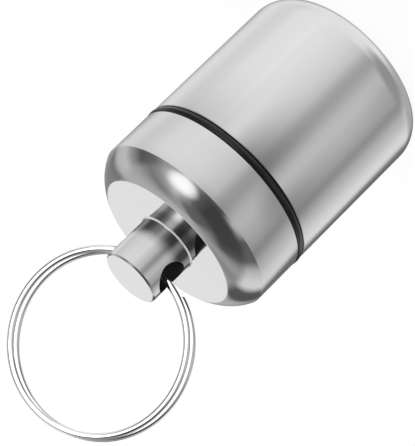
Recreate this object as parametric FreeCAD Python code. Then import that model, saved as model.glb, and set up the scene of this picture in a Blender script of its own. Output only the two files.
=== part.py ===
"""Turned aluminium case for a pair of earplugs, with a screw cap, a rubber seal and a split ring.

Millimetres, +Z up. The origin is the centre of the flat underside, on which the case stands, and the
cross hole through the cap's knob runs along X. Every piece is made where it sits in the closed case.
"""

import FreeCAD
import Part

import math
import os

# Outside of the case
case_radius = 12.5
container_height = 22.85
base_corner_radius = 4.0
skirt_height = 6.45
crown_rise = 3.05
crown_inset = 2.87
crown_bulge = 0.35
edge_break = 0.15

# Knob on the cap, cross drilled for the split ring
knob_radius = 3.85
knob_height = 6.55
knob_end_chamfer = 0.2
knob_root_fillet = 0.3
ring_hole_radius = 1.83
ring_hole_height = 3.35
ring_hole_chamfer = 0.08

# Inside of the container
neck_wall_thickness = 1.0
bore_mouth_chamfer = 0.3
floor_thickness = 2.0
floor_corner_radius = 0.8

# Screw thread, outside on the container's neck and inside the cap, right-handed
shoulder_width = 1.3
thread_pitch = 1.25
thread_crest_width = 0.2
thread_depth = 0.6
thread_flank_angle = 30.0
thread_radial_clearance = 0.12
thread_axial_clearance = 0.12
thread_tool_overrun = 0.1
neck_height = 6.2
neck_lead_chamfer = 0.5
neck_relief_height = 0.5

# Inside of the cap
cap_roof_thickness = 1.9
cap_bore_over_container_bore = 0.2
cap_mouth_chamfer = 0.35
cap_relief_height = 1.2
cap_relief_depth = 0.06
cap_clearance_over_neck = 0.5

# Rubber seal, a round cord squeezed flat between the cap's rim and the container's shoulder
seal_squeezed_height = 1.1
seal_cord_diameter = 1.5
seal_bulge = 0.1
seal_seat_clearance = 0.05

# Split ring, two turns of round wire whose step from turn to turn lies in the knob's hole
ring_wire_diameter = 0.85
ring_outer_diameter = 23.3
ring_turn_spacing = 1.0
ring_turn_offset = 0.34
ring_step_half_angle = 24.0
ring_back_end_angle = 27.0
ring_front_end_angle = 22.0
ring_end_rounding = 0.12
ring_lean = 29.5
ring_yaw = 6.3
ring_shift_along_hole = 0.41
ring_shift_across_hole = -0.5

# Heights and radii that follow from the sizes above
shoulder_z = container_height
rim_z = shoulder_z + seal_squeezed_height
crown_z = rim_z + skirt_height
face_z = crown_z + crown_rise
knob_end_z = face_z + knob_height
hole_z = face_z + ring_hole_height
face_radius = case_radius - crown_inset
neck_top_z = shoulder_z + neck_height
neck_thread_z = rim_z + neck_relief_height
thread_crest_radius = case_radius - shoulder_width
thread_root_radius = thread_crest_radius - thread_depth
bore_radius = thread_root_radius - neck_wall_thickness
cap_root_radius = thread_crest_radius + thread_radial_clearance
cap_crest_radius = thread_root_radius + thread_radial_clearance
cap_relief_top_z = neck_top_z + cap_clearance_over_neck
cap_relief_z = cap_relief_top_z - cap_relief_height
cap_relief_radius = cap_root_radius + cap_relief_depth
cap_roof_bore_radius = bore_radius + cap_bore_over_container_bore
roof_z = face_z - cap_roof_thickness
seal_outer_radius = case_radius + seal_bulge
ring_path_radius = (ring_outer_diameter - ring_wire_diameter) / 2

ORIGIN = FreeCAD.Vector(0, 0, 0)
X_AXIS = FreeCAD.Vector(1, 0, 0)
Z_AXIS = FreeCAD.Vector(0, 0, 1)
FULL_TURN = 360


class Outline:
    """A closed outline in the plane of radius and height, drawn from point to point."""

    def __init__(self, radius, height):
        self.start = self.pen = FreeCAD.Vector(radius, 0, height)
        self.edges = []

    def line_to(self, radius, height):
        """A straight stretch to a point."""
        end = FreeCAD.Vector(radius, 0, height)
        self.edges.append(Part.makeLine(self.pen, end))
        self.pen = end

    def arc_to(self, through, end):
        """A round stretch through one (radius, height) pair to another."""
        through = FreeCAD.Vector(through[0], 0, through[1])
        end = FreeCAD.Vector(end[0], 0, end[1])
        self.edges.append(Part.Arc(self.pen, through, end).toShape())
        self.pen = end

    def corner_to(self, centre, radius, start_angle, end_angle):
        """A round corner about a centre, between two angles in degrees from the outward direction."""
        middle_angle = (start_angle + end_angle) / 2
        through, end = [
            (
                centre[0] + radius * math.cos(math.radians(angle)),
                centre[1] + radius * math.sin(math.radians(angle)),
            )
            for angle in (middle_angle, end_angle)
        ]
        self.arc_to(through, end)

    def turned(self):
        """The solid that a lathe leaves when the outline goes once round the Z axis."""
        self.line_to(self.start.x, self.start.z)
        return Part.Face(Part.Wire(self.edges)).revolve(ORIGIN, Z_AXIS, FULL_TURN)


def flank_run(depth):
    """How far along the axis a thread's flank runs over a depth."""
    return depth * math.tan(math.radians(thread_flank_angle))


def groove_width(floor_width):
    """A thread groove's width at its mouth, where its tool overruns the wall."""
    return floor_width + 2 * flank_run(thread_depth + thread_tool_overrun)


def half_turn_helix(radius, bottom_z, top_z):
    """A right-hand helix that starts over the X axis, as edges of up to half a turn each."""
    pieces = math.ceil(2 * (top_z - bottom_z) / thread_pitch)
    rise = (top_z - bottom_z) / pieces
    edges = []
    for i in range(pieces):
        piece = Part.makeHelix(thread_pitch, rise, radius)
        piece.translate(FreeCAD.Vector(0, 0, bottom_z + i * rise))
        piece.rotate(ORIGIN, Z_AXIS, FULL_TURN * i * rise / thread_pitch)
        edges += piece.Edges
    return Part.Wire(edges)


def thread_groove(floor_radius, mouth_radius, floor_width, bottom_z, top_z):
    """What a thread tool takes away along a helix, from a groove's floor to beyond its mouth."""
    inner, outer = sorted([(floor_radius, floor_width), (mouth_radius, groove_width(floor_width))])
    corners = [
        FreeCAD.Vector(inner[0], 0, bottom_z - inner[1] / 2),
        FreeCAD.Vector(inner[0], 0, bottom_z + inner[1] / 2),
        FreeCAD.Vector(outer[0], 0, bottom_z + outer[1] / 2),
        FreeCAD.Vector(outer[0], 0, bottom_z - outer[1] / 2),
    ]
    sweep = Part.BRepOffsetAPI.MakePipeShell(half_turn_helix(floor_radius, bottom_z, top_z))
    sweep.setBiNormalMode(Z_AXIS)
    sweep.add(Part.makePolygon(corners + corners[:1]))
    sweep.build()
    sweep.makeSolid()
    return sweep.shape()


def neck_floor_width():
    """The width of the floor of the groove that is cut into the neck."""
    return thread_pitch - thread_crest_width - 2 * flank_run(thread_depth)


def cap_floor_width():
    """The width of the floor of the cap's groove, which clears the neck's ridge on both flanks."""
    return thread_crest_width + 2 * (thread_axial_clearance - flank_run(thread_radial_clearance))


def neck_groove_z():
    """Where the neck's groove starts, just below the thread in the relief at the neck's foot."""
    return neck_thread_z - groove_width(neck_floor_width()) / 2


def seal_width():
    """The squeezed seal's width, from its cord's round section at the same area."""
    cord_area = math.pi / 4 * seal_cord_diameter**2
    round_sides_area = math.pi / 4 * seal_squeezed_height**2
    return seal_squeezed_height + (cord_area - round_sides_area) / seal_squeezed_height


def seal_inner_radius():
    """The radius of the seal's hole."""
    return seal_outer_radius - seal_width()


def container():
    """The cup, with a rounded foot, a plain seat for the seal and a threaded neck."""
    corner = floor_corner_radius
    seat_radius = seal_inner_radius() - seal_seat_clearance
    cup = Outline(0, 0)
    cup.line_to(case_radius - base_corner_radius, 0)
    cup.corner_to((case_radius - base_corner_radius, base_corner_radius), base_corner_radius, -90, 0)
    cup.line_to(case_radius, shoulder_z - edge_break)
    cup.line_to(case_radius - edge_break, shoulder_z)
    cup.line_to(seat_radius, shoulder_z)
    cup.line_to(seat_radius, neck_thread_z - flank_run(thread_crest_radius - seat_radius))
    cup.line_to(thread_crest_radius, neck_thread_z)
    cup.line_to(thread_crest_radius, neck_top_z - neck_lead_chamfer)
    cup.line_to(thread_crest_radius - neck_lead_chamfer, neck_top_z)
    cup.line_to(bore_radius + bore_mouth_chamfer, neck_top_z)
    cup.line_to(bore_radius, neck_top_z - bore_mouth_chamfer)
    cup.line_to(bore_radius, floor_thickness + corner)
    cup.corner_to((bore_radius - corner, floor_thickness + corner), corner, 0, -90)
    cup.line_to(0, floor_thickness)
    groove = thread_groove(
        thread_root_radius,
        thread_crest_radius + thread_tool_overrun,
        neck_floor_width(),
        neck_groove_z(),
        neck_top_z + thread_pitch,
    )
    return cup.turned().cut(groove)


def cap_blank():
    """The cap as it leaves the lathe, with its knob and its bore but no thread or cross hole."""
    slope = math.hypot(crown_rise, crown_inset)
    crown_middle = (
        case_radius - crown_inset / 2 + crown_bulge * crown_rise / slope,
        crown_z + crown_rise / 2 + crown_bulge * crown_inset / slope,
    )
    root = knob_root_fillet
    cap_outline = Outline(cap_crest_radius + cap_mouth_chamfer, rim_z)
    cap_outline.line_to(case_radius - edge_break, rim_z)
    cap_outline.line_to(case_radius, rim_z + edge_break)
    cap_outline.line_to(case_radius, crown_z)
    cap_outline.arc_to(crown_middle, (face_radius, face_z))
    cap_outline.line_to(knob_radius + root, face_z)
    cap_outline.corner_to((knob_radius + root, face_z + root), root, -90, -180)
    cap_outline.line_to(knob_radius, knob_end_z - knob_end_chamfer)
    cap_outline.line_to(knob_radius - knob_end_chamfer, knob_end_z)
    cap_outline.line_to(0, knob_end_z)
    cap_outline.line_to(0, roof_z)
    cap_outline.line_to(cap_roof_bore_radius, roof_z)
    cap_outline.line_to(cap_roof_bore_radius, cap_relief_top_z)
    cap_outline.line_to(cap_relief_radius, cap_relief_top_z)
    cap_outline.line_to(cap_relief_radius, cap_relief_z)
    cap_outline.line_to(cap_crest_radius, cap_relief_z)
    cap_outline.line_to(cap_crest_radius, rim_z + cap_mouth_chamfer)
    return cap_outline.turned()


def ring_hole():
    """The cross hole through the knob, flared at both mouths."""
    reach = knob_radius + ring_hole_chamfer
    start = FreeCAD.Vector(-reach, 0, hole_z)
    return Part.makeCylinder(ring_hole_radius, 2 * reach, start, X_AXIS)


def mouth_edges(knob_and_cap):
    """The two curved edges where the cross hole breaks out of the knob's side."""
    return [
        edge
        for edge in knob_and_cap.Edges
        if abs(edge.CenterOfMass.z - hole_z) < ring_hole_radius / 2
        and abs(edge.CenterOfMass.x) > knob_radius / 2
        and edge.BoundBox.ZLength > ring_hole_radius
        and edge.BoundBox.YLength > ring_hole_radius
    ]


def cap():
    """The cap, turned from one bar, cross drilled for the ring and threaded inside."""
    drilled = cap_blank().cut(ring_hole())
    flared = drilled.makeChamfer(ring_hole_chamfer, mouth_edges(drilled))
    half_pitch = thread_pitch / 2
    width = groove_width(cap_floor_width())
    turns_below = math.ceil((neck_groove_z() + half_pitch - rim_z + width / 2) / thread_pitch)
    groove = thread_groove(
        cap_root_radius,
        cap_crest_radius - thread_tool_overrun,
        cap_floor_width(),
        neck_groove_z() + half_pitch - turns_below * thread_pitch,
        cap_relief_z + width / 2,
    )
    return flared.cut(groove)


def seal():
    """The rubber ring, flat where it is squeezed and round where it bulges in and out."""
    half = seal_squeezed_height / 2
    middle_z = shoulder_z + half
    outline = Outline(seal_outer_radius - half, shoulder_z)
    outline.corner_to((seal_outer_radius - half, middle_z), half, -90, 90)
    outline.line_to(seal_inner_radius() + half, rim_z)
    outline.corner_to((seal_inner_radius() + half, middle_z), half, 90, 270)
    return outline.turned()


def end_direction(arc):
    """The direction in which an arc arrives at its end."""
    return arc.tangent(arc.LastParameter)[0]


def arc_leaving(start, direction, end):
    """The arc that leaves one point in a direction and arrives at another."""
    chord = end - start
    along = FreeCAD.Vector(chord).normalize()
    across = direction - along * direction.dot(along)
    rise = chord.Length / 2 * math.tan(direction.getAngle(chord) / 2)
    return Part.ArcOfCircle(start, start + chord / 2 + across.normalize() * rise, end)


def wire_along(arc):
    """A round wire bent along an arc."""
    start = arc.value(arc.FirstParameter)
    section = Part.makeCircle(ring_wire_diameter / 2, start, arc.tangent(arc.FirstParameter)[0])
    angle = math.degrees(arc.LastParameter - arc.FirstParameter)
    return Part.Face(Part.Wire(section)).revolve(arc.Center, arc.Axis, angle)


def cut_ends(ring, ends):
    """The ring with the sharp rim taken off the two cut ends of its wire."""
    rims = [
        edge
        for edge in ring.Edges
        if min(edge.CenterOfMass.distanceToPoint(end) for end in ends) < ring_end_rounding
    ]
    return ring.makeFillet(ring_end_rounding, rims)


def split_ring():
    """Two turns side by side, a little out of line, with the step between them in the knob's hole.

    Each turn is the other one turned half round about the spoke through the hole. The step's two
    arcs leave the turns smoothly and meet square to that spoke, so no stretch has a kink.
    """
    lean = math.radians(ring_lean)
    yaw = math.radians(ring_yaw)
    step = math.radians(ring_step_half_angle)
    half_spacing = ring_turn_spacing / 2
    half_offset = ring_turn_offset / 2
    outward = FreeCAD.Vector(0, -math.sin(lean), math.cos(lean))
    facing = FreeCAD.Vector(math.sin(yaw), math.cos(yaw) * math.cos(lean), math.cos(yaw) * math.sin(lean))
    along = facing.cross(outward)
    in_hole = FreeCAD.Vector(ring_shift_along_hole, ring_shift_across_hole, hole_z)
    start_along = ring_path_radius * math.sin(step) - half_offset
    start_outward = ring_path_radius * math.cos(step)
    skew = half_offset / math.tan(step)
    reach = skew + math.sqrt(start_along**2 + (start_outward - skew) ** 2 + half_spacing**2)
    centre = in_hole + outward * reach

    def on_turn(angle, side):
        spoke = along * math.sin(angle) - outward * math.cos(angle)
        return centre + spoke * ring_path_radius + (facing * half_spacing - along * half_offset) * side

    def turn_arc(start_angle, end_angle, side):
        angles = (start_angle, (start_angle + end_angle) / 2, end_angle)
        return Part.ArcOfCircle(*[on_turn(angle, side) for angle in angles])

    back_end = math.radians(ring_back_end_angle - FULL_TURN)
    front_end = math.radians(FULL_TURN - ring_front_end_angle)
    back_turn = turn_arc(back_end, -step, -1)
    into_hole = arc_leaving(on_turn(-step, -1), end_direction(back_turn), in_hole)
    out_of_hole = arc_leaving(in_hole, end_direction(into_hole), on_turn(step, 1))
    front_turn = turn_arc(step, front_end, 1)
    stretches = [wire_along(arc) for arc in (back_turn, into_hole, out_of_hole, front_turn)]
    ring = stretches[0].multiFuse(stretches[1:])
    return cut_ends(ring, (on_turn(back_end, -1), on_turn(front_end, 1)))


def main():
    """Makes each piece and writes it to its own file."""
    os.makedirs("parts", exist_ok=True)
    pieces = {
        "container": container(),
        "cap": cap(),
        "o_ring": seal(),
        "split_ring": split_ring(),
    }
    for name, piece in pieces.items():
        piece.exportStep(f"parts/{name}.step")


main()
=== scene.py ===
"""Dressed model of a turned aluminium earplug case: cup, screw cap, rubber seal and split ring.

Sizes are in millimetres and are made metres where a mesh is built. The case stands on the origin with
its axis along +Z, and the cross hole through the cap's knob runs along X.
"""

import logging
import math
from collections.abc import Callable
from dataclasses import dataclass, field, replace
from enum import Enum

import bmesh
import bpy
from mathutils import Matrix, Vector


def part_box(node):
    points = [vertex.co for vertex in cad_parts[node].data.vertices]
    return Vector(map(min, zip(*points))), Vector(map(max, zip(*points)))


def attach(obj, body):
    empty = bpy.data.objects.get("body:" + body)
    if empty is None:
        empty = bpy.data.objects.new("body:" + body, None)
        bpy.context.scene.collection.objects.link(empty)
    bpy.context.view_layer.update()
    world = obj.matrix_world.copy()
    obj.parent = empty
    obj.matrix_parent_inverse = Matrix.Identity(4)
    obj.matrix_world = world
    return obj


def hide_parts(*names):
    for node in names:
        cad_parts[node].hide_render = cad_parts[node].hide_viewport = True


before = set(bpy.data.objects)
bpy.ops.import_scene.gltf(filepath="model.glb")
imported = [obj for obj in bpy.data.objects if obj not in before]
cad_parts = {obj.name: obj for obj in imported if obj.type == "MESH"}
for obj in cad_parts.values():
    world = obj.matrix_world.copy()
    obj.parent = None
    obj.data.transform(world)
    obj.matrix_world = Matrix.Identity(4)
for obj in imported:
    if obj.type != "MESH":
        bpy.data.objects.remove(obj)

MM = 0.001
NEAR = 0.02  # Points closer than this, in millimetres, count as one place.
FLUSH = 0.005  # A face whose middle is this close to a plane, in millimetres, lies in it.
MERGE = 0.0002  # Points closer than this, in millimetres, are merged.
LEVEL_NORMAL = 0.99  # A face lies level where its normal has more than this along Z.
QUARTER_TURN = 0.25
WHITE = (1, 1, 1, 1)
LOG = logging.getLogger("case")
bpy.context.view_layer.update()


class Slot(Enum):
    """The record's material slots."""

    CONTAINER = "container_aluminium"
    CAP = "cap_aluminium"
    SEAL = "seal_rubber"
    RING = "ring_steel"


class Body(Enum):
    """The bodies that the pieces ride on."""

    CUP = "cup"
    SEAL = "seal"
    LID = "lid"
    RING = "ring"


class Marks(Enum):
    """Which way the tool marks on a turned surface run, as stretches of its grain along X, Y and Z."""

    LENGTHWISE = (1.0, 1.0, 0.015)
    AROUND = (0.02, 0.02, 1.0)


Colour = tuple[float, float, float]
Band = tuple[tuple[float, float], ...]


def toned(colour: Colour, tone: float) -> Colour:
    """Returns a colour made darker by a tone below 1, or lighter by one above."""
    return tuple(tone * part for part in colour)


class Shading:
    """The node tree of one material or of the world."""

    def __init__(self, owner: bpy.types.ID) -> None:
        """Empties the tree of a material or a world.

        Args:
            owner: The material or world.
        """
        owner.use_nodes = True
        self.tree = owner.node_tree
        self.tree.nodes.clear()

    def node(self, kind: str, inputs: dict | None = None, **settings: object) -> bpy.types.Node:
        """Adds a node.

        Args:
            kind: The node's type name.
            inputs: Values or sockets for its inputs, by input name or number.
            **settings: The node's own settings.

        Returns:
            The new node.
        """
        node = self.tree.nodes.new(kind)
        for key, value in settings.items():
            setattr(node, key, value)
        for key, value in (inputs or {}).items():
            if isinstance(value, bpy.types.NodeSocket):
                self.tree.links.new(value, node.inputs[key])
            else:
                node.inputs[key].default_value = value
        return node

    def sum(self, operation: str, *values: object) -> bpy.types.NodeSocket:
        """Adds a Math node on numbers or sockets and returns its result."""
        return self.node("ShaderNodeMath", dict(enumerate(values)), operation=operation).outputs[0]

    def blend(self, factor: object, first: object, second: object) -> bpy.types.NodeSocket:
        """Adds a Mix node from the first number or socket to the second and returns its result."""
        return self.node("ShaderNodeMix", {0: factor, 2: first, 3: second}).outputs[0]

    def blend_colours(self, factor: object, first: object, second: object) -> bpy.types.NodeSocket:
        """Adds a Mix node for two colours.

        Args:
            factor: How much of the second there is.
            first: The colour or socket at a factor of 0.
            second: The colour or socket at a factor of 1.

        Returns:
            The result's socket.
        """
        inputs = {0: factor}
        for number, part in ((6, first), (7, second)):
            inputs[number] = part if isinstance(part, bpy.types.NodeSocket) else (*part, 1)
        return self.node("ShaderNodeMix", inputs, data_type="RGBA").outputs[2]

    def smooth_step(self, value: object, low: float, high: float) -> bpy.types.NodeSocket:
        """Adds a soft step from 0 at the low value to 1 at the high one and returns it."""
        inputs = {0: value, 1: low, 2: high}
        return self.node("ShaderNodeMapRange", inputs, interpolation_type="SMOOTHSTEP").outputs[0]

    def place(self) -> bpy.types.NodeSocket:
        """Adds Texture Coordinate and returns the place on the object."""
        return self.node("ShaderNodeTexCoord").outputs["Object"]

    def grain(
        self, size: float, marks: tuple[float, float, float], detail: float = 2.0
    ) -> bpy.types.NodeSocket:
        """Adds noise stretched into tool marks.

        Args:
            size: The marks' width in millimetres.
            marks: The stretch along X, Y and Z.
            detail: The noise's levels of detail.

        Returns:
            The noise's value.
        """
        scale = tuple(part / (size * MM) for part in marks)
        spread = self.node("ShaderNodeMapping", {"Vector": self.place(), "Scale": scale}).outputs[0]
        inputs = {"Vector": spread, "Scale": 1.0, "Detail": detail}
        return self.node("ShaderNodeTexNoise", inputs).outputs[0]

    def rings(self, size: float) -> bpy.types.NodeSocket:
        """Adds noise in rings about the case's axis, as a lathe's tool leaves on faces and walls.

        Args:
            size: The rings' width in millimetres.

        Returns:
            The noise's value.
        """
        place = self.place()
        flat = self.node("ShaderNodeVectorMath", {0: place, 1: (1, 1, 0)}, operation="MULTIPLY").outputs[0]
        radius = self.node("ShaderNodeVectorMath", {0: flat}, operation="LENGTH").outputs["Value"]
        height = self.node("ShaderNodeSeparateXYZ", {0: place}).outputs["Z"]
        along = self.sum("DIVIDE", self.sum("ADD", radius, height), size * MM)
        inputs = {"W": along, "Scale": 1.0, "Detail": 2.0}
        return self.node("ShaderNodeTexNoise", inputs, noise_dimensions="1D").outputs[0]

    def relief(self, height: bpy.types.NodeSocket, depth: float) -> bpy.types.NodeSocket:
        """Adds a Bump node, with the pattern's depth in millimetres, and returns the bent normal."""
        inputs = {"Height": height, "Distance": depth * MM, "Strength": 1.0}
        return self.node("ShaderNodeBump", inputs).outputs[0]

    def cover(self, inputs: dict) -> None:
        """Adds a Principled surface with these values or sockets and makes it the material's."""
        surface = self.node("ShaderNodeBsdfPrincipled", inputs)
        self.node("ShaderNodeOutputMaterial", {"Surface": surface.outputs[0]})


@dataclass(frozen=True)
class MetalFinish:
    """A bare or plated metal surface with its tool marks.

    Attributes:
        name: The material's name.
        colour: What the metal reflects.
        roughness: Its middle roughness.
        roughness_spread: How far marks change the roughness.
        mark_size: The marks' width in millimetres.
        mark_depth: The marks' depth in millimetres.
        marks: Which way the marks run.
        turned: Whether fine rings from the lathe show too.
        stretch: How far highlights are drawn out across the marks.
        mirror: How much of the surface mirrors; the rest is a matt lit evenly, which on the knob's root line
            is a painted highlight.
        painted_shade: How much of its colour the metal keeps where the painted shade towards the knob's root
            corner is darkest.
        painted_shade_heights: The heights in millimetres where the painted shade is darkest and where it has
            faded out.
        patch_size: The width of lighter and darker patches, in marks.
        patch_tone: How much of the colour the darker patches keep.
    """

    name: str
    colour: Colour
    roughness: float
    roughness_spread: float
    mark_size: float
    mark_depth: float
    marks: Marks = Marks.LENGTHWISE
    turned: bool = False
    stretch: float = 0.0
    mirror: float = 1.0
    painted_shade: float = 1.0
    painted_shade_heights: tuple[float, float] = (0.0, 0.0)
    patch_size: float = 12.0
    patch_tone: float = 0.95

    def material(self) -> bpy.types.Material:
        """Builds the material.

        Returns:
            The material.
        """
        material = bpy.data.materials.new(self.name)
        shading = Shading(material)
        patches = shading.grain(self.patch_size * self.mark_size, self.marks.value, detail=1.0)
        spread = shading.sum("MULTIPLY", shading.sum("SUBTRACT", patches, 0.5), self.roughness_spread)
        tint = shading.blend_colours(patches, self.colour, toned(self.colour, self.patch_tone))
        # Painted shade: towards the knob's root, below the given heights, the colour fades to a darker copy
        # of itself.
        if self.painted_shade < 1:
            height = shading.node("ShaderNodeSeparateXYZ", {0: shading.place()}).outputs["Z"]
            bright = shading.smooth_step(height, *(part * MM for part in self.painted_shade_heights))
            tint = shading.blend_colours(bright, toned(self.colour, self.painted_shade), tint)
        if self.turned:
            marks = shading.rings(self.mark_size)
        else:
            marks = shading.grain(self.mark_size, self.marks.value)
        inputs = {
            "Base Color": tint,
            "Metallic": self.mirror,
            "Roughness": shading.sum("ADD", self.roughness, spread),
            "Anisotropic": self.stretch,
            "Normal": shading.relief(marks, self.mark_depth),
        }
        if self.stretch:
            tangent = shading.node("ShaderNodeTangent", direction_type="RADIAL", axis="Z")
            inputs["Tangent"] = tangent.outputs[0]
            inputs["Anisotropic Rotation"] = QUARTER_TURN if self.turned else 0.0
        shading.cover(inputs)
        return material


@dataclass(frozen=True)
class RubberFinish:
    """Moulded black rubber with a low gloss.

    Attributes:
        name: The material's name.
        colour: The rubber's colour.
        roughness: Its roughness where it is smoothest.
        roughness_spread: How much rougher it is where it has bloomed.
        gloss: How strongly it mirrors, where 0.5 is usual.
        pore_size: The size of its fine grain in millimetres.
        pore_depth: The depth of its fine grain in millimetres.
        bloom_size: The width of the bloomed patches, in pores.
        bloom_tone: How many times lighter they are.
    """

    name: str = "moulded_rubber"
    colour: Colour = (0.008, 0.008, 0.008)
    roughness: float = 0.12
    roughness_spread: float = 0.10
    gloss: float = 0.4
    pore_size: float = 0.12
    pore_depth: float = 0.002
    bloom_size: float = 20.0
    bloom_tone: float = 1.8

    def material(self) -> bpy.types.Material:
        """Builds the material.

        Returns:
            The material.
        """
        material = bpy.data.materials.new(self.name)
        shading = Shading(material)
        pores = shading.grain(self.pore_size, (1, 1, 1))
        bloom = shading.grain(self.bloom_size * self.pore_size, (1, 1, 1))
        spread = shading.sum("MULTIPLY", bloom, self.roughness_spread)
        shading.cover({
            "Base Color": shading.blend_colours(bloom, self.colour, toned(self.colour, self.bloom_tone)),
            "Roughness": shading.sum("ADD", self.roughness, spread),
            "Specular IOR Level": self.gloss,
            "Normal": shading.relief(pores, self.pore_depth),
        })
        return material


Finish = MetalFinish | RubberFinish

CUP_SATIN = MetalFinish(
    "cup_satin_aluminium", colour=(0.87, 0.87, 0.88), roughness=0.17, roughness_spread=0.05,
    mark_size=0.12, mark_depth=0.0012, stretch=0.5,
)
SKIRT_SATIN = replace(CUP_SATIN, name="skirt_satin_aluminium", colour=(0.79, 0.79, 0.80))
POLISHED = MetalFinish(
    "polished_aluminium", colour=(0.80, 0.80, 0.81), roughness=0.10, roughness_spread=0.03,
    mark_size=0.3, mark_depth=0.0006, marks=Marks.AROUND,
)
MACHINED = MetalFinish(
    "machined_aluminium", colour=(0.76, 0.76, 0.77), roughness=0.26, roughness_spread=0.08,
    mark_size=0.09, mark_depth=0.004, turned=True,
)
# The knob's wall, with a painted shade that darkens its colour towards the root.
TURNED_PAINTED_ROOT_SHADE = MetalFinish(
    "turned_aluminium_painted_root_shade", colour=(0.80, 0.80, 0.81), roughness=0.15, roughness_spread=0.04,
    mark_size=0.10, mark_depth=0.0006, turned=True, stretch=0.8, painted_shade=0.50, painted_shade_heights=(34.7, 36.5),
)
# The cross hole's wall: a dark colour that paints the shade inside the hole.
DRILLED_PAINTED_SHADE = MetalFinish(
    "drilled_aluminium_painted_shade", colour=(0.20, 0.20, 0.20), roughness=0.45, roughness_spread=0.08,
    mark_size=0.10, mark_depth=0.003,
)
# A near-white, mostly matt line at the knob's root: a painted highlight.
PAINTED_HIGHLIGHT_LINE = MetalFinish(
    "painted_highlight_aluminium", colour=(0.98, 0.98, 0.99), roughness=0.12, roughness_spread=0.03,
    mark_size=0.10, mark_depth=0.0004, mirror=0.4,
)
PLATED = MetalFinish(
    "plated_steel", colour=(0.97, 0.97, 0.98), roughness=0.07, roughness_spread=0.03,
    mark_size=0.25, mark_depth=0.0004, marks=Marks.AROUND,
)
RUBBER = RubberFinish()


def deselect() -> None:
    """Leaves edit mode, with nothing selected."""
    if bpy.context.object and bpy.context.object.mode != "OBJECT":
        bpy.ops.object.mode_set(mode="OBJECT")
    bpy.ops.object.select_all(action="DESELECT")


def pick(piece: bpy.types.Object) -> None:
    """Makes a piece the only selected one and the active one.

    Args:
        piece: The piece.
    """
    deselect()
    piece.select_set(True)
    bpy.context.view_layer.objects.active = piece


def edit(piece: bpy.types.Object, kind: str) -> None:
    """Opens a piece for editing with nothing selected.

    Args:
        piece: The piece.
        kind: VERT, EDGE or FACE.
    """
    pick(piece)
    bpy.ops.object.mode_set(mode="EDIT")
    bpy.ops.mesh.select_mode(type=kind)
    bpy.ops.mesh.select_all(action="DESELECT")


def select_edges(piece: bpy.types.Object, wanted: Callable[[Vector], bool]) -> int:
    """Selects the edges whose two ends both lie in a wanted place.

    Args:
        piece: The piece, open for editing.
        wanted: Tells whether a point, in millimetres, is wanted.

    Returns:
        How many edges there are.
    """
    mesh = bmesh.from_edit_mesh(piece.data)
    edges = [edge for edge in mesh.edges if all(wanted(end.co / MM) for end in edge.verts)]
    for edge in edges:
        edge.select_set(True)
    bmesh.update_edit_mesh(piece.data)
    return len(edges)


def apply_modifier(piece: bpy.types.Object, kind: str, **settings: object) -> None:
    """Adds a modifier to a piece and applies it.

    Args:
        piece: The piece.
        kind: The modifier's type.
        **settings: The modifier's settings.
    """
    pick(piece)
    bpy.ops.object.modifier_add(type=kind)
    modifier = piece.modifiers[-1]
    for key, value in settings.items():
        setattr(modifier, key, value)
    bpy.ops.object.modifier_apply(modifier=modifier.name)


def cut_away(piece: bpy.types.Object, cutter: bpy.types.Object) -> None:
    """Takes a cutter's shape out of a piece, and the cutter out of the scene.

    Args:
        piece: The piece.
        cutter: A closed shape.
    """
    apply_modifier(piece, "BOOLEAN", object=cutter, operation="DIFFERENCE", solver="EXACT")
    mesh = cutter.data
    bpy.data.objects.remove(cutter)
    bpy.data.meshes.remove(mesh)


def close_up(piece: bpy.types.Object) -> None:
    """Merges doubles, closes any open end and turns every face outwards.

    Args:
        piece: The piece.
    """
    edit(piece, "FACE")
    bpy.ops.mesh.select_all(action="SELECT")
    bpy.ops.mesh.remove_doubles(threshold=MERGE * MM)
    bpy.ops.mesh.fill_holes(sides=0)
    bpy.ops.mesh.select_all(action="SELECT")
    bpy.ops.mesh.normals_make_consistent(inside=False)
    deselect()


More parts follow.
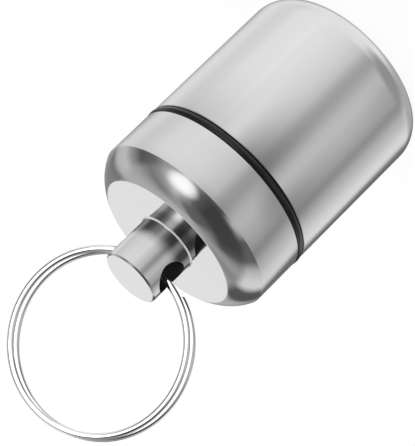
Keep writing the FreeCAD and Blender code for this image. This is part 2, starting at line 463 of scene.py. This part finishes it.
class Turned:
    """A closed shape of revolution about Z, grown from a disc ring by ring."""

    def __init__(self, name: str, radius: float, height: float, segments: int) -> None:
        """Starts with a disc.

        Args:
            name: The piece's name.
            radius: The disc's radius.
            height: The disc's height above the origin.
            segments: The number of sides all the way round.
        """
        deselect()
        bpy.ops.mesh.primitive_circle_add(
            vertices=segments, radius=radius * MM, fill_type="NGON", location=(0, 0, height * MM)
        )
        self.piece = bpy.context.object
        self.piece.name = self.piece.data.name = name
        bpy.ops.object.transform_apply(location=True, rotation=True, scale=True)
        edit(self.piece, "FACE")
        bpy.ops.mesh.select_all(action="SELECT")
        self.radius = radius
        self.height = height

    def cut_to(self, radius: float, height: float) -> None:
        """Carries the wall on from the last ring to a new one.

        Args:
            radius: The new ring's radius.
            height: The new ring's height.
        """
        rise = (0, 0, (height - self.height) * MM)
        bpy.ops.mesh.extrude_region_move(TRANSFORM_OT_translate={"value": rise})
        scale = radius / self.radius
        bpy.ops.transform.resize(value=(scale, scale, 1), center_override=(0, 0, height * MM))
        self.radius = radius
        self.height = height

    def crown_to(self, radius: float, height: float, bulge: float, steps: int) -> None:
        """Carries the wall on along a shallow arc.

        Args:
            radius: The radius where the arc ends.
            height: The height where the arc ends.
            bulge: How far the arc stands out from the straight line.
            steps: The number of rings along it.
        """
        start = Vector((self.radius, self.height))
        chord = Vector((radius, height)) - start
        outward = Vector((chord.y, -chord.x)).normalized()
        bend = (chord.length**2 / 4 + bulge**2) / (2 * bulge)
        centre = start + chord / 2 - outward * (bend - bulge)
        half = math.asin(chord.length / 2 / bend)
        for i in range(1, steps + 1):
            angle = half * (2 * i / steps - 1)
            point = centre + (outward * math.cos(angle) + chord.normalized() * math.sin(angle)) * bend
            self.cut_to(point.x, point.y)

    def round_edges(self, rings: list[tuple[float, float]], size: float, segments: int) -> None:
        """Rounds sharp rings of the shape.

        Args:
            rings: Each ring's radius and height.
            size: How far each rounding reaches along the faces.
            segments: The facets across each rounding.
        """
        edit(self.piece, "EDGE")
        for radius, height in rings:
            found = select_edges(
                self.piece,
                lambda p: abs(math.hypot(p.x, p.y) - radius) < NEAR and abs(p.z - height) < NEAR,
            )
            LOG.debug("%s: %d edges at %.2f, %.2f", self.piece.name, found, radius, height)
        bpy.ops.mesh.bevel(offset=size * MM, offset_type="OFFSET", segments=segments, affect="EDGES")

    def finished(self) -> bpy.types.Object:
        """Closes the shape, leaves edit mode and returns the piece."""
        close_up(self.piece)
        return self.piece


@dataclass(frozen=True)
class Thread:
    """The screw thread that the cup and the cap share, as its cutting tool sees it.

    Attributes:
        pitch: The rise of one turn.
        depth: The depth of a groove.
        flank_angle: How far the flanks lean from square, in degrees.
        crest_width: The flat left on the neck's ridge.
        clearance: The play between the two threads, across and along.
        overrun: How far the tool runs past the wall.
        steps: The stretches along one turn.
    """

    pitch: float = 1.25
    depth: float = 0.6
    flank_angle: float = 30.0
    crest_width: float = 0.2
    clearance: float = 0.12
    overrun: float = 0.1
    steps: int = 120

    def run(self, depth: float) -> float:
        """Returns how far a flank runs along the axis over a depth."""
        return depth * math.tan(math.radians(self.flank_angle))

    def mouth(self, floor_width: float) -> float:
        """Returns a groove's width where the tool overruns the wall."""
        return floor_width + 2 * self.run(self.depth + self.overrun)

    def neck_floor(self) -> float:
        """Returns the width of the floor of the neck's groove."""
        return self.pitch - self.crest_width - 2 * self.run(self.depth)

    def cap_floor(self) -> float:
        """Returns the width of the floor of the cap's groove."""
        return self.crest_width + 2 * (self.clearance - self.run(self.clearance))

    def cutter(
        self, floor_radius: float, mouth_radius: float, floor_width: float, z: float, turns: int
    ) -> bpy.types.Object:
        """Makes the helical shape that the tool takes away.

        Args:
            floor_radius: The radius of the groove's floor.
            mouth_radius: The radius past the wall, where the groove is widest.
            floor_width: The width of the groove's floor.
            z: The height of the groove's middle over the X axis at its start.
            turns: How many turns the tool makes.

        Returns:
            The cutter.
        """
        deselect()
        middle = (floor_radius + mouth_radius) / 2
        reach = abs(mouth_radius - floor_radius)
        bpy.ops.mesh.primitive_plane_add(
            size=MM, location=(middle * MM, 0, z * MM), rotation=(math.pi / 2, 0, 0)
        )
        cutter = bpy.context.object
        cutter.scale = (reach, floor_width, 1)
        bpy.ops.object.transform_apply(location=True, rotation=True, scale=True)
        edit(cutter, "EDGE")
        select_edges(cutter, lambda p: abs(p.x - mouth_radius) < NEAR)
        widen = self.mouth(floor_width) / floor_width
        bpy.ops.transform.resize(value=(1, 1, widen), center_override=(mouth_radius * MM, 0, z * MM))
        bpy.ops.mesh.select_all(action="SELECT")
        bpy.ops.mesh.delete(type="ONLY_FACE")
        deselect()
        apply_modifier(
            cutter, "SCREW", axis="Z", angle=math.tau, screw_offset=self.pitch * MM, iterations=turns,
            steps=self.steps, render_steps=self.steps, use_merge_vertices=False,
        )
        close_up(cutter)
        return cutter


THREAD = Thread()


def dress(
    piece: bpy.types.Object, node: str, body: Body, finishes: list[Finish],
    finish_of: Callable[[Vector, Vector], Finish] | None = None, smooth_angle: float = 20.0,
) -> None:
    """Gives a piece its finishes and hangs it in the frame in place of a plain solid.

    Args:
        piece: The piece.
        node: The solid that it stands for.
        body: The body that it rides on.
        finishes: The finishes on the piece.
        finish_of: Picks a finish by a face's middle, in millimetres, and its normal. Without it, the
            first finish is all over.
        smooth_angle: Edges sharper than this, in degrees, stay sharp.
    """
    for finish in finishes:
        piece.data.materials.append(bpy.data.materials.get(finish.name) or finish.material())
    for face in piece.data.polygons:
        if finish_of:
            face.material_index = finishes.index(finish_of(face.center / MM, face.normal))
    pick(piece)
    bpy.ops.object.shade_smooth_by_angle(angle=math.radians(smooth_angle))
    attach(piece, body.value)
    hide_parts(node)
    LOG.info("%s: %d faces on %s", piece.name, len(piece.data.polygons), body.value)


@dataclass
class Container:
    """The cup: a satin wall with a rounded foot, and a threaded neck above the seal's shoulder.

    Attributes:
        radius: The outside radius.
        neck_top: The height of the neck's mouth.
        shoulder: The height of the shoulder that the seal lies on.
        rim: The height of the cap's rim, on the seal.
        foot_radius: The rounding of the lower edge.
        edge_break: The rounding of the shoulder's edge.
        seat_radius: The radius of the plain neck inside the seal.
        crest_radius: The radius of the thread's crest.
        bore_radius: The radius of the bore.
        floor: The thickness of the floor.
        floor_corner: The rounding of the bore's lower corner.
        relief: The plain neck between the cap's rim and the thread.
        lead_chamfer: The chamfer round the neck's outer edge.
        mouth_chamfer: The chamfer round the bore's mouth.
        segments: The sides all the way round.
    """

    radius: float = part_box("container")[1][0] / MM
    neck_top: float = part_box("container")[1][2] / MM
    shoulder: float = 22.85
    rim: float = 23.95
    foot_radius: float = 4.0
    edge_break: float = 0.15
    seat_radius: float = 10.71
    crest_radius: float = 11.2
    bore_radius: float = 9.6
    floor: float = 2.0
    floor_corner: float = 0.8
    relief: float = 0.5
    lead_chamfer: float = 0.5
    mouth_chamfer: float = 0.3
    segments: int = 192

    def groove_start(self) -> float:
        """Returns the height of the groove's middle over the X axis at its start."""
        return self.rim + self.relief - THREAD.mouth(THREAD.neck_floor()) / 2

    def blank(self) -> bpy.types.Object:
        """Turns the cup without its thread.

        Returns:
            The piece.
        """
        thread_start = self.rim + self.relief
        cup = Turned("container_body", self.radius, 0, self.segments)
        cup.cut_to(self.radius, self.shoulder)
        cup.cut_to(self.seat_radius, self.shoulder)
        cup.cut_to(self.seat_radius, thread_start - THREAD.run(self.crest_radius - self.seat_radius))
        cup.cut_to(self.crest_radius, thread_start)
        cup.cut_to(self.crest_radius, self.neck_top - self.lead_chamfer)
        cup.cut_to(self.crest_radius - self.lead_chamfer, self.neck_top)
        cup.cut_to(self.bore_radius + self.mouth_chamfer, self.neck_top)
        cup.cut_to(self.bore_radius, self.neck_top - self.mouth_chamfer)
        cup.cut_to(self.bore_radius, self.floor)
        cup.round_edges([(self.bore_radius, self.floor)], self.floor_corner, segments=6)
        cup.round_edges([(self.radius, 0)], self.foot_radius, segments=16)
        cup.round_edges([(self.radius, self.shoulder)], self.edge_break, segments=3)
        return cup.finished()

    def finish_of(self, place: Vector, normal: Vector) -> MetalFinish:
        """Tells which finish a face has: satin on the outside, machined on the flat foot and the rest.

        Args:
            place: The face's middle.
            normal: The face's normal.

        Returns:
            The finish.
        """
        outside = math.hypot(place.x, place.y) > self.crest_radius + NEAR and place.z < self.shoulder
        rounded_foot = place.z < self.floor / 2 and normal.z > -LEVEL_NORMAL
        return CUP_SATIN if outside or rounded_foot else MACHINED

    def build(self) -> None:
        """Builds and dresses the cup."""
        cup = self.blank()
        turns = math.ceil((self.neck_top + THREAD.pitch - self.groove_start()) / THREAD.pitch)
        cut_away(cup, THREAD.cutter(
            self.crest_radius - THREAD.depth, self.crest_radius + THREAD.overrun,
            THREAD.neck_floor(), self.groove_start(), turns,
        ))
        dress(cup, "container", Body.CUP, [CUP_SATIN, MACHINED], self.finish_of)


@dataclass
class Cap:
    """The cap: a satin skirt, and a polished crown, face and knob with a cross hole.

    Attributes:
        cup: The cup that it screws on.
        radius: The skirt's radius.
        rim: The height of the rim.
        knob_end: The height of the knob's end.
        crown: The height where the skirt turns into the crown.
        face: The height of the face that the knob stands on.
        face_radius: The face's radius.
        crown_bulge: How far the crown stands out from a straight cone.
        edge_break: The rounding of the rim's edge.
        polished_edge: The rounding of the crown's two edges.
        knob_radius: The knob's radius.
        knob_chamfer: The chamfer round the knob's end.
        knob_root: The fillet at the knob's root.
        hole: The height of the cross hole's middle.
        hole_radius: The cross hole's radius.
        hole_chamfer: The chamfer round the cross hole's mouths.
        hole_sides: The sides round the cross hole.
        chamfer_reach: How far the chamfer's tool runs past the knob's wall.
        roof: The height of the roof inside.
        roof_radius: The roof's radius.
        relief_top: The height where the thread's relief ends.
        relief_bottom: The height where it starts.
        relief_depth: How far it is cut past the thread's root.
        mouth_chamfer: The chamfer round the mouth.
        segments: The sides all the way round.
    """

    cup: Container = field(default_factory=Container)
    radius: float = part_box("cap")[1][0] / MM
    rim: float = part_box("cap")[0][2] / MM
    knob_end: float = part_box("cap")[1][2] / MM
    crown: float = 30.4
    face: float = 33.45
    face_radius: float = 9.63
    crown_bulge: float = 0.35
    edge_break: float = 0.15
    polished_edge: float = 0.05
    knob_radius: float = 3.85
    knob_chamfer: float = 0.2
    knob_root: float = 0.3
    hole: float = 36.8
    hole_radius: float = 1.83
    hole_chamfer: float = 0.08
    hole_sides: int = 96
    chamfer_reach: float = 0.32
    roof: float = 31.55
    roof_radius: float = 9.8
    relief_top: float = 29.55
    relief_bottom: float = 28.35
    relief_depth: float = 0.06
    mouth_chamfer: float = 0.35
    segments: int = 192

    def thread_root(self) -> float:
        """Returns the radius of the floor of the cap's groove."""
        return self.cup.crest_radius + THREAD.clearance

    def thread_crest(self) -> float:
        """Returns the radius of the cap's ridge."""
        return self.thread_root() - THREAD.depth

    def blank(self) -> bpy.types.Object:
        """Turns the cap without its thread or cross hole.

        Returns:
            The piece.
        """
        crest = self.thread_crest()
        relief = self.thread_root() + self.relief_depth
        cap = Turned("cap_body", self.roof_radius, self.roof, self.segments)
        cap.cut_to(self.roof_radius, self.relief_top)
        cap.cut_to(relief, self.relief_top)
        cap.cut_to(relief, self.relief_bottom)
        cap.cut_to(crest, self.relief_bottom)
        cap.cut_to(crest, self.rim + self.mouth_chamfer)
        cap.cut_to(crest + self.mouth_chamfer, self.rim)
        cap.cut_to(self.radius, self.rim)
        cap.cut_to(self.radius, self.crown)
        cap.crown_to(self.face_radius, self.face, self.crown_bulge, steps=12)
        cap.cut_to(self.knob_radius, self.face)
        cap.cut_to(self.knob_radius, self.knob_end)
        cap.round_edges([(self.knob_radius, self.knob_end)], self.knob_chamfer, segments=1)
        cap.round_edges([(self.knob_radius, self.face)], self.knob_root, segments=6)
        cap.round_edges([(self.radius, self.rim)], self.edge_break, segments=3)
        crown_edges = [(self.radius, self.crown), (self.face_radius, self.face)]
        cap.round_edges(crown_edges, self.polished_edge, segments=2)
        return cap.finished()

    def knob_sag(self, y: float) -> float:
        """Returns how far the knob's wall falls back from its widest line at a sideways place."""
        return self.knob_radius - math.sqrt(self.knob_radius**2 - y**2)

    def hole_cutter(self) -> bpy.types.Object:
        """Makes the drill's shape, with a small chamfer that follows the knob's round wall.

        Returns:
            The cutter.
        """
        deselect()
        straight = 2 * (self.knob_radius - self.hole_chamfer)
        bpy.ops.mesh.primitive_cylinder_add(
            vertices=self.hole_sides, radius=self.hole_radius * MM, depth=straight * MM,
            location=(0, 0, self.hole * MM), rotation=(0, math.pi / 2, 0),
        )
        cutter = bpy.context.object
        bpy.ops.object.transform_apply(location=True, rotation=True, scale=True)
        widen = 1 + self.chamfer_reach / self.hole_radius
        for side in (-1, 1):
            edit(cutter, "FACE")
            end = side * straight / 2
            select_edges(cutter, lambda p: abs(p.x - end) < NEAR)
            flare = (side * self.chamfer_reach * MM, 0, 0)
            bpy.ops.mesh.extrude_region_move(TRANSFORM_OT_translate={"value": flare})
            centre = ((end + side * self.chamfer_reach) * MM, 0, self.hole * MM)
            bpy.ops.transform.resize(value=(1, widen, widen), center_override=centre)
            clear = (side * self.hole_radius * MM, 0, 0)
            bpy.ops.mesh.extrude_region_move(TRANSFORM_OT_translate={"value": clear})
        deselect()
        for vertex in cutter.data.vertices:
            if abs(vertex.co.x) < (self.knob_radius + self.chamfer_reach) * MM:
                spread = math.hypot(vertex.co.y, vertex.co.z - self.hole * MM)
                sag = self.knob_sag(self.hole_radius * vertex.co.y / spread)
                vertex.co.x -= math.copysign(sag * MM, vertex.co.x)
        close_up(cutter)
        return cutter

    def finish_of(self, place: Vector, normal: Vector) -> MetalFinish:
        """Tells which finish a face has.

        Args:
            place: The face's middle.
            normal: The face's normal.

        Returns:
            The finish.
        """
        radius = math.hypot(place.x, place.y)
        above_face = place.z - self.face
        if above_face > self.knob_root and abs(normal.z) < LEVEL_NORMAL:
            if place.z > self.knob_end - self.knob_chamfer:
                return POLISHED
            # The cross hole's wall takes the dark painted shade; the rest of the knob's wall takes the
            # turned finish with its painted root shade.
            return DRILLED_PAINTED_SHADE if radius < self.knob_radius - self.knob_sag(self.hole_radius) else TURNED_PAINTED_ROOT_SHADE
        if FLUSH < above_face < self.knob_root:
            # The lower half of the knob's root fillet is a painted highlight line.
            return PAINTED_HIGHLIGHT_LINE if above_face < self.knob_root / 2 else TURNED_PAINTED_ROOT_SHADE
        if above_face > -NEAR or (place.z > self.crown and normal.z > 0):
            return POLISHED
        return SKIRT_SATIN if radius > self.radius - self.edge_break else MACHINED

    def build(self) -> None:
        """Builds and dresses the cap."""
        cap = self.blank()
        width = THREAD.mouth(THREAD.cap_floor())
        start = self.cup.groove_start() + THREAD.pitch / 2
        turns_below = math.ceil((start - self.rim + width / 2) / THREAD.pitch)
        start -= turns_below * THREAD.pitch
        turns = math.floor((self.relief_bottom + width / 2 - start) / THREAD.pitch)
        cut_away(cap, THREAD.cutter(
            self.thread_root(), self.thread_crest() - THREAD.overrun, THREAD.cap_floor(), start, turns,
        ))
        cut_away(cap, self.hole_cutter())
        finishes = [SKIRT_SATIN, POLISHED, MACHINED, TURNED_PAINTED_ROOT_SHADE, DRILLED_PAINTED_SHADE, PAINTED_HIGHLIGHT_LINE]
        dress(cap, "cap", Body.LID, finishes, self.finish_of)


@dataclass
class Seal:
    """The rubber ring, squeezed flat between the cap's rim and the cup's shoulder.

    Attributes:
        outer_radius: Its radius over all.
        bottom: The height of its underside.
        top: The height of its top.
        width: The width of its cord across the case's axis.
        segments: The sides all the way round.
        sides: The sides round the cord.
    """

    outer_radius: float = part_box("o_ring")[1][1] / MM
    bottom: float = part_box("o_ring")[0][2] / MM
    top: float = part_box("o_ring")[1][2] / MM
    width: float = 1.84
    segments: int = 192
    sides: int = 32

    def build(self) -> None:
        """Builds and dresses the seal."""
        half = (self.top - self.bottom) / 2
        middle = self.outer_radius - self.width / 2
        spread = self.width / 2 - half
        deselect()
        bpy.ops.mesh.primitive_torus_add(
            major_segments=self.segments, minor_segments=self.sides, major_radius=middle * MM,
            minor_radius=half * MM, location=(0, 0, (self.bottom + half) * MM),
        )
        seal = bpy.context.object
        seal.name = seal.data.name = "seal_cord"
        bpy.ops.object.transform_apply(location=True, rotation=True, scale=True)
        for vertex in seal.data.vertices:
            radius = math.hypot(vertex.co.x, vertex.co.y) / MM
            side = 0 if abs(radius - middle) < NEAR else math.copysign(1, radius - middle)
            scale = (radius + side * spread) / radius
            vertex.co.x *= scale
            vertex.co.y *= scale
        close_up(seal)
        dress(seal, "o_ring", Body.SEAL, [RUBBER], smooth_angle=60)


class BentWire:
    """A round wire that is bent on from its end, arc by arc."""

    def __init__(self, name: str, start: Vector, direction: Vector, radius: float, sides: int) -> None:
        """Starts with the wire's cut end.

        Args:
            name: The piece's name.
            start: The middle of the end.
            direction: Which way the wire runs.
            radius: The wire's radius.
            sides: The number of sides round the wire.
        """
        deselect()
        turn = direction.to_track_quat("Z", "Y").to_euler()
        bpy.ops.mesh.primitive_circle_add(
            vertices=sides, radius=radius * MM, fill_type="NGON", location=start * MM, rotation=turn
        )
        self.piece = bpy.context.object
        self.piece.name = self.piece.data.name = name
        bpy.ops.object.transform_apply(location=True, rotation=True, scale=True)
        edit(self.piece, "FACE")
        bpy.ops.mesh.select_all(action="SELECT")
        self.end = start
        self.direction = direction

    def coil(self, hub: Vector, axis: Vector, angle: float, steps: int) -> None:
        """Winds the wire on about an axis.

        Args:
            hub: A point on the axis.
            axis: The axis, about which the wire turns right-handed.
            angle: How far it turns, in radians.
            steps: The number of stretches along the turn.
        """
        bpy.ops.mesh.spin(steps=steps, angle=angle, center=hub * MM, axis=-axis)
        turn = Matrix.Rotation(angle, 3, axis)
        self.end = hub + turn @ (self.end - hub)
        self.direction = turn @ self.direction

    def bend_to(self, target: Vector, steps: int) -> None:
        """Bends the wire on to a point, along the arc that leaves its end smoothly.

        Args:
            target: Where the arc ends.
            steps: The number of stretches along it.
        """
        chord = target - self.end
        axis = self.direction.cross(chord).normalized()
        inward = axis.cross(self.direction)
        bend_radius = chord.length_squared / (2 * chord.dot(inward))
        self.coil(self.end + inward * bend_radius, axis, 2 * self.direction.angle(chord), steps)


@dataclass
class SplitRing:
    """Two turns of spring wire side by side, stepping from one to the other in the knob's hole.

    Each turn is the other one turned half round about the spoke through the hole. Angles on the turns
    are counted in degrees from that spoke.

    Attributes:
        wire_diameter: The wire's thickness.
        outer_diameter: The ring's width over all.
        turn_spacing: The distance between the two turns, along the ring's axis.
        turn_offset: How far the turns are out of line.
        step_half_angle: How far along each turn the step reaches.
        back_end_angle: Where the back turn's end lies.
        front_end_angle: Where the front turn's end lies.
        end_rounding: The rounding of the wire's ends.
        lean: How far the ring leans back from upright, in degrees.
        yaw: How far it is turned about its spoke, in degrees.
        in_hole: The middle of the wire in the knob's hole.
        sides: The sides round the wire.
        turn_steps: The stretches along each turn.
        step_steps: The stretches along each half of the step.
        end_segments: The facets across an end's rounding.
    """

    wire_diameter: float = 0.85
    outer_diameter: float = 23.3
    turn_spacing: float = 1.0
    turn_offset: float = 0.34
    step_half_angle: float = 24.0
    back_end_angle: float = 27.0
    front_end_angle: float = 22.0
    end_rounding: float = 0.12
    lean: float = 29.5
    yaw: float = 6.3
    in_hole: tuple[float, float, float] = (0.41, -0.5, 36.8)
    sides: int = 28
    turn_steps: int = 200
    step_steps: int = 18
    end_segments: int = 3

    def path_radius(self) -> float:
        """Returns the radius of the wire's middle line."""
        return (self.outer_diameter - self.wire_diameter) / 2

    def reach(self) -> float:
        """Returns how far the ring's centre is from the wire in the hole."""
        step = math.radians(self.step_half_angle)
        skew = self.turn_offset / 2 / math.tan(step)
        along = self.path_radius() * math.sin(step) - self.turn_offset / 2
        outward = self.path_radius() * math.cos(step) - skew
        return skew + math.hypot(along, outward, self.turn_spacing / 2)

    def build(self) -> None:
        """Builds and dresses the ring."""
        lean = math.radians(self.lean)
        yaw = math.radians(self.yaw)
        outward = Vector((0, -math.sin(lean), math.cos(lean)))
        ahead = math.cos(yaw)
        facing = Vector((math.sin(yaw), ahead * math.cos(lean), ahead * math.sin(lean)))
        along = facing.cross(outward)
        in_hole = Vector(self.in_hole)
        aside = facing * (self.turn_spacing / 2) - along * (self.turn_offset / 2)
        back_hub = in_hole + outward * self.reach() - aside
        front_hub = back_hub + aside * 2

        def spoke(angle: float) -> Vector:
            """Returns the way from a turn's hub to its middle line at an angle from the hole."""
            turn = math.radians(angle)
            return (along * math.sin(turn) - outward * math.cos(turn)) * self.path_radius()

        start = back_hub + spoke(self.back_end_angle)
        direction = spoke(self.back_end_angle + 90).normalized()
        wire = BentWire("ring_wire", start, direction, self.wire_diameter / 2, self.sides)
        back_turn = math.radians(360 - self.back_end_angle - self.step_half_angle)
        front_turn = math.radians(360 - self.front_end_angle - self.step_half_angle)
        wire.coil(back_hub, -facing, back_turn, self.turn_steps)
        wire.bend_to(in_hole, self.step_steps)
        wire.bend_to(front_hub + spoke(self.step_half_angle), self.step_steps)
        wire.coil(front_hub, -facing, front_turn, self.turn_steps)
        ring = wire.piece
        close_up(ring)
        edit(ring, "EDGE")
        for end in (start, wire.end):
            select_edges(ring, lambda p: (p - end).length < self.wire_diameter / 2 + NEAR)
        bpy.ops.mesh.bevel(offset=self.end_rounding * MM, segments=self.end_segments, affect="EDGES")
        close_up(ring)
        ring.visible_glossy = False
        dress(ring, "split_ring", Body.RING, [PLATED], smooth_angle=40)
        RingCard().build(ring)


@dataclass(frozen=True)
class Lamp:
    """A round lamp or bright card with a soft edge, far away.

    Attributes:
        compass: Its compass direction in degrees.
        height: Its height above the horizon in degrees.
        full: The half width, in degrees, over which it is full.
        end: The half width, in degrees, where it ends.
        level: Its brightness.
    """

    compass: float
    height: float
    full: float
    end: float
    level: float

    def add_to(self, shading: Shading, direction: object, behind: object) -> bpy.types.NodeSocket:
        """Lays the lamp over what is behind it.

        Args:
            shading: The world's tree.
            direction: The direction looked in.
            behind: The brightness behind the lamp.

        Returns:
            The brightness with the lamp.
        """
        turn = math.radians(self.compass)
        rise = math.radians(self.height)
        aim = (math.cos(rise) * math.cos(turn), math.cos(rise) * math.sin(turn), math.sin(rise))
        facing = shading.node("ShaderNodeVectorMath", {0: direction, 1: aim}, operation="DOT_PRODUCT")
        edge = [math.cos(math.radians(angle)) for angle in (self.end, self.full)]
        return shading.blend(shading.smooth_step(facing.outputs["Value"], *edge), behind, self.level)


@dataclass(frozen=True)
class StudioSweep:
    """What the metal mirrors: white paper and soft lamps with grey flags between them.

    Attributes:
        ground: The brightness straight below.
        low: The brightness below the horizon, by compass direction in degrees.
        middle: The brightness a little above it.
        high: The brightness higher up.
        overhead: The brightness near the top.
        ground_edge: The heights, in degrees, between which the ground turns into low.
        horizon: Those between which low turns into middle.
        upper_edge: Those between which middle turns into high.
        overhead_edge: Those between which high turns into the overhead.
        lamps: The key lamp, the card that the cap's face mirrors, and two grey cards under the foot.
        plain: The level at which everything that isn't metal is lit.
    """

    ground: float = 0.88
    low: Band = (
        (-180, 0.75), (-165, 0.85), (-152, 0.80), (-140, 0.50), (-130, 0.36), (-112, 0.34), (-98, 0.14),
        (-82, 0.14), (-71, 0.86), (-60, 0.80), (-28, 0.46), (-17, 0.26), (-8, 0.42), (22, 0.60), (35, 0.55),
        (44, 0.38), (54, 0.40), (66, 0.68), (95, 0.84), (125, 0.90), (150, 0.87), (172, 0.74), (180, 0.75),
    )
    middle: Band = (
        (-180, 0.36), (-170, 0.62), (-158, 0.56), (-149, 0.20), (-140, 0.26), (-122, 0.30), (-106, 0.52),
        (-96, 0.48), (-90, 0.10), (-76, 0.10), (-66, 0.78), (-55, 0.76), (-40, 0.55), (-27, 0.14), (2, 0.12),
        (14, 0.42), (26, 0.55), (36, 0.30), (44, 0.08), (70, 0.10), (86, 0.40), (98, 0.80), (112, 0.50),
        (130, 0.36), (145, 0.16), (165, 0.10), (180, 0.36),
    )
    high: Band = (
        (-180, 0.44), (-165, 0.50), (-145, 0.50), (-132, 0.90), (-104, 0.90), (-88, 0.45), (-68, 0.28),
        (-52, 0.38), (-40, 0.28), (-28, 0.10), (-10, 0.06), (55, 0.05), (80, 0.12), (92, 0.32), (120, 0.60),
        (130, 0.48), (140, 0.32), (155, 0.22), (180, 0.44),
    )
    overhead: Band = (
        (-180, 0.52), (-80, 0.46), (-20, 0.28), (20, 0.12), (105, 0.14), (130, 0.34), (165, 0.36),
        (180, 0.52),
    )
    ground_edge: tuple[float, float] = (-64, -40)
    horizon: tuple[float, float] = (-20, 1)
    upper_edge: tuple[float, float] = (24, 38)
    overhead_edge: tuple[float, float] = (60, 78)
    lamps: tuple[Lamp, ...] = (
        Lamp(compass=103, height=41, full=2, end=22, level=1.26),
        Lamp(compass=-117, height=25, full=12, end=20, level=0.92),
        Lamp(compass=-72, height=-52, full=14, end=26, level=0.45),
        Lamp(compass=5, height=-55, full=14, end=34, level=0.32),
    )
    plain: float = 1.0

    @staticmethod
    def ramp(shading: Shading, factor: object, stops: Band) -> bpy.types.NodeSocket:
        """Adds a ramp of grey over the compass.

        Args:
            shading: The world's tree.
            factor: The compass direction, from 0 to 1.
            stops: Directions in degrees with their brightness.

        Returns:
            The brightness.
        """
        node = shading.node("ShaderNodeValToRGB", {0: factor})
        elements = node.color_ramp.elements
        while len(elements) < len(stops):
            elements.new(0.5)
        for element, (azimuth, level) in zip(elements, stops):
            element.position = (azimuth + 180) / 360
            element.color = (level, level, level, 1)
        return shading.node("ShaderNodeRGBToBW", {0: node.outputs[0]}).outputs[0]

    def build(self) -> None:
        """Builds the world."""
        world = bpy.data.worlds.new("studio")
        bpy.context.scene.world = world
        shading = Shading(world)
        direction = shading.node("ShaderNodeTexCoord").outputs["Generated"]
        parts = shading.node("ShaderNodeSeparateXYZ", {0: direction}).outputs
        azimuth = shading.sum("ARCTAN2", parts["Y"], parts["X"])
        compass = shading.sum("ADD", shading.sum("DIVIDE", azimuth, math.tau), 0.5)
        level = self.ground
        for edge, band in (
            (self.ground_edge, self.low), (self.horizon, self.middle),
            (self.upper_edge, self.high), (self.overhead_edge, self.overhead),
        ):
            start, end = [math.sin(math.radians(angle)) for angle in edge]
            risen = shading.smooth_step(parts["Z"], start, end)
            level = shading.blend(risen, level, self.ramp(shading, compass, band))
        for lamp in self.lamps:
            level = lamp.add_to(shading, direction, level)
        path = shading.node("ShaderNodeLightPath").outputs
        mirrored = shading.sum("MAXIMUM", path["Is Glossy Ray"], path["Is Transmission Ray"])
        level = shading.blend(mirrored, self.plain, level)
        level = shading.blend(path["Is Camera Ray"], level, 1.0)
        backdrop = shading.node("ShaderNodeBackground", {"Color": WHITE, "Strength": level})
        shading.node("ShaderNodeOutputWorld", {"Surface": backdrop.outputs[0]})


@dataclass(frozen=True)
class RingCard:
    """A broad white card at the viewer's side, which the split ring alone mirrors.

    Attributes:
        size: The card's width in millimetres.
        place: Where its middle is, in millimetres.
        level: Its brightness.
    """

    size: float = 300.0
    place: tuple[float, float, float] = (9.0, 147.5, 92.5)
    level: float = 1.0

    def build(self, ring: bpy.types.Object) -> None:
        """Sets the card up, facing the ring.

        Args:
            ring: The ring.
        """
        deselect()
        place = Vector(self.place) * MM
        corners = [Vector(corner) for corner in ring.bound_box]
        middle = sum(corners, Vector()) / len(corners)
        turn = (place - middle).to_track_quat("Z", "Y").to_euler()
        bpy.ops.object.light_add(type="AREA", location=place, rotation=turn)
        card = bpy.context.object
        card.name = "ring_card"
        card.data.size = self.size * MM
        card.data.energy = math.pi * self.level * card.data.size**2
        card.visible_camera = False
        lit = bpy.data.collections.new("lit_by_ring_card")
        lit.objects.link(ring)
        card.light_linking.receiver_collection = lit


@dataclass(frozen=True)
class Floor:
    """A plain white floor that keeps a soft shadow.

    Attributes:
        size: Its width in millimetres.
        shadow: How much of the shadow it shows.
    """

    size: float = 4000.0
    shadow: float = 0.07

    def build(self) -> None:
        """Builds the floor."""
        deselect()
        bpy.ops.mesh.primitive_plane_add(size=self.size * MM, location=(0, 0, 0))
        floor = bpy.context.object
        floor.name = "floor"
        material = bpy.data.materials.new("floor_paper")
        shading = Shading(material)
        paper = shading.node("ShaderNodeBsdfDiffuse", {"Color": WHITE})
        white = shading.node("ShaderNodeEmission", {"Color": WHITE, "Strength": 1.0})
        layers = {0: self.shadow, 1: white.outputs[0], 2: paper.outputs[0]}
        seen = shading.node("ShaderNodeMixShader", layers)
        shading.node("ShaderNodeOutputMaterial", {"Surface": seen.outputs[0]})
        floor.data.materials.append(material)
        floor.visible_glossy = False
        floor.visible_transmission = False
        floor.visible_diffuse = False


@dataclass(frozen=True)
class Camera:
    """The photo's viewpoint, rolled so that the standing case lies across the picture.

    Attributes:
        place: Where it stands, in millimetres.
        right: The picture's right.
        up: The picture's top.
        focal_length: The lens in millimetres.
        sensor_width: The sensor's width in millimetres.
        clip: The nearest and the farthest that it sees, in metres.
    """

    place: tuple[float, float, float] = (137.2, 274.9, 147.0)
    right: tuple[float, float, float] = (0.74269, -0.07832, -0.66507)
    up: tuple[float, float, float] = (-0.52819, 0.54206, -0.65363)
    focal_length: float = 221.6
    sensor_width: float = 36.0
    clip: tuple[float, float] = (0.01, 10.0)

    def build(self) -> None:
        """Adds the camera."""
        deselect()
        bpy.ops.object.camera_add()
        camera = bpy.context.object
        right = Vector(self.right).normalized()
        back = right.cross(Vector(self.up)).normalized()
        turn = Matrix((right, back.cross(right), back)).transposed()
        camera.matrix_world = Matrix.Translation(Vector(self.place) * MM) @ turn.to_4x4()
        camera.data.lens = self.focal_length
        camera.data.sensor_width = self.sensor_width
        camera.data.clip_start, camera.data.clip_end = self.clip
        bpy.context.scene.camera = camera


def main() -> None:
    """Builds the pieces in order and sets the stage."""
    logging.basicConfig(level=logging.INFO, format="%(name)s: %(message)s")
    bpy.context.scene.view_settings.view_transform = "Standard"
    Camera().build()
    StudioSweep().build()
    Floor().build()
    for part in (Container(), Cap(), Seal(), SplitRing()):
        part.build()


if __name__ == "__main__":
    main()
